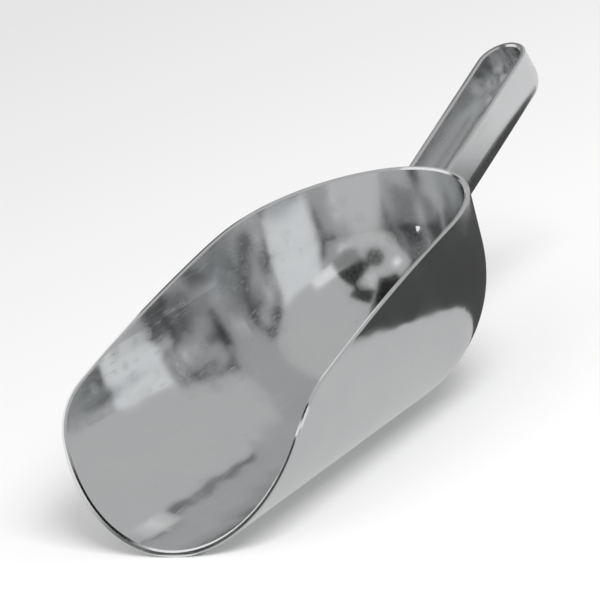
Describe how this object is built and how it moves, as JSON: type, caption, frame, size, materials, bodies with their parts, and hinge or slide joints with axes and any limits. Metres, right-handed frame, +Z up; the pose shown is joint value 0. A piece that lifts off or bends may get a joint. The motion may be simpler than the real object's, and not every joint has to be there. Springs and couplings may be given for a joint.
{
  "type": "ice scoop",
  "caption": "Round-bottomed aluminium hand scoop for ice, with a domed back, a slanting open mouth and a trough-shaped handle welded to the back.",
  "frame": {"origin": "on the surface that the bowl rests on, under the middle of the overall length and width", "axes": "+X from the lip towards the handle, +Y to the left looking along +X, +Z up out of the bowl's opening"},
  "size_m": [0.259, 0.1066, 0.0892],
  "materials": {
    "polished_aluminium": "polished, with soft blurred reflections"
  },
  "bodies": {
    "root": {"bowl": "polished_aluminium", "handle": "polished_aluminium", "outer_weld": "polished_aluminium", "inner_weld": "polished_aluminium"}
  },
  "joints": []
}
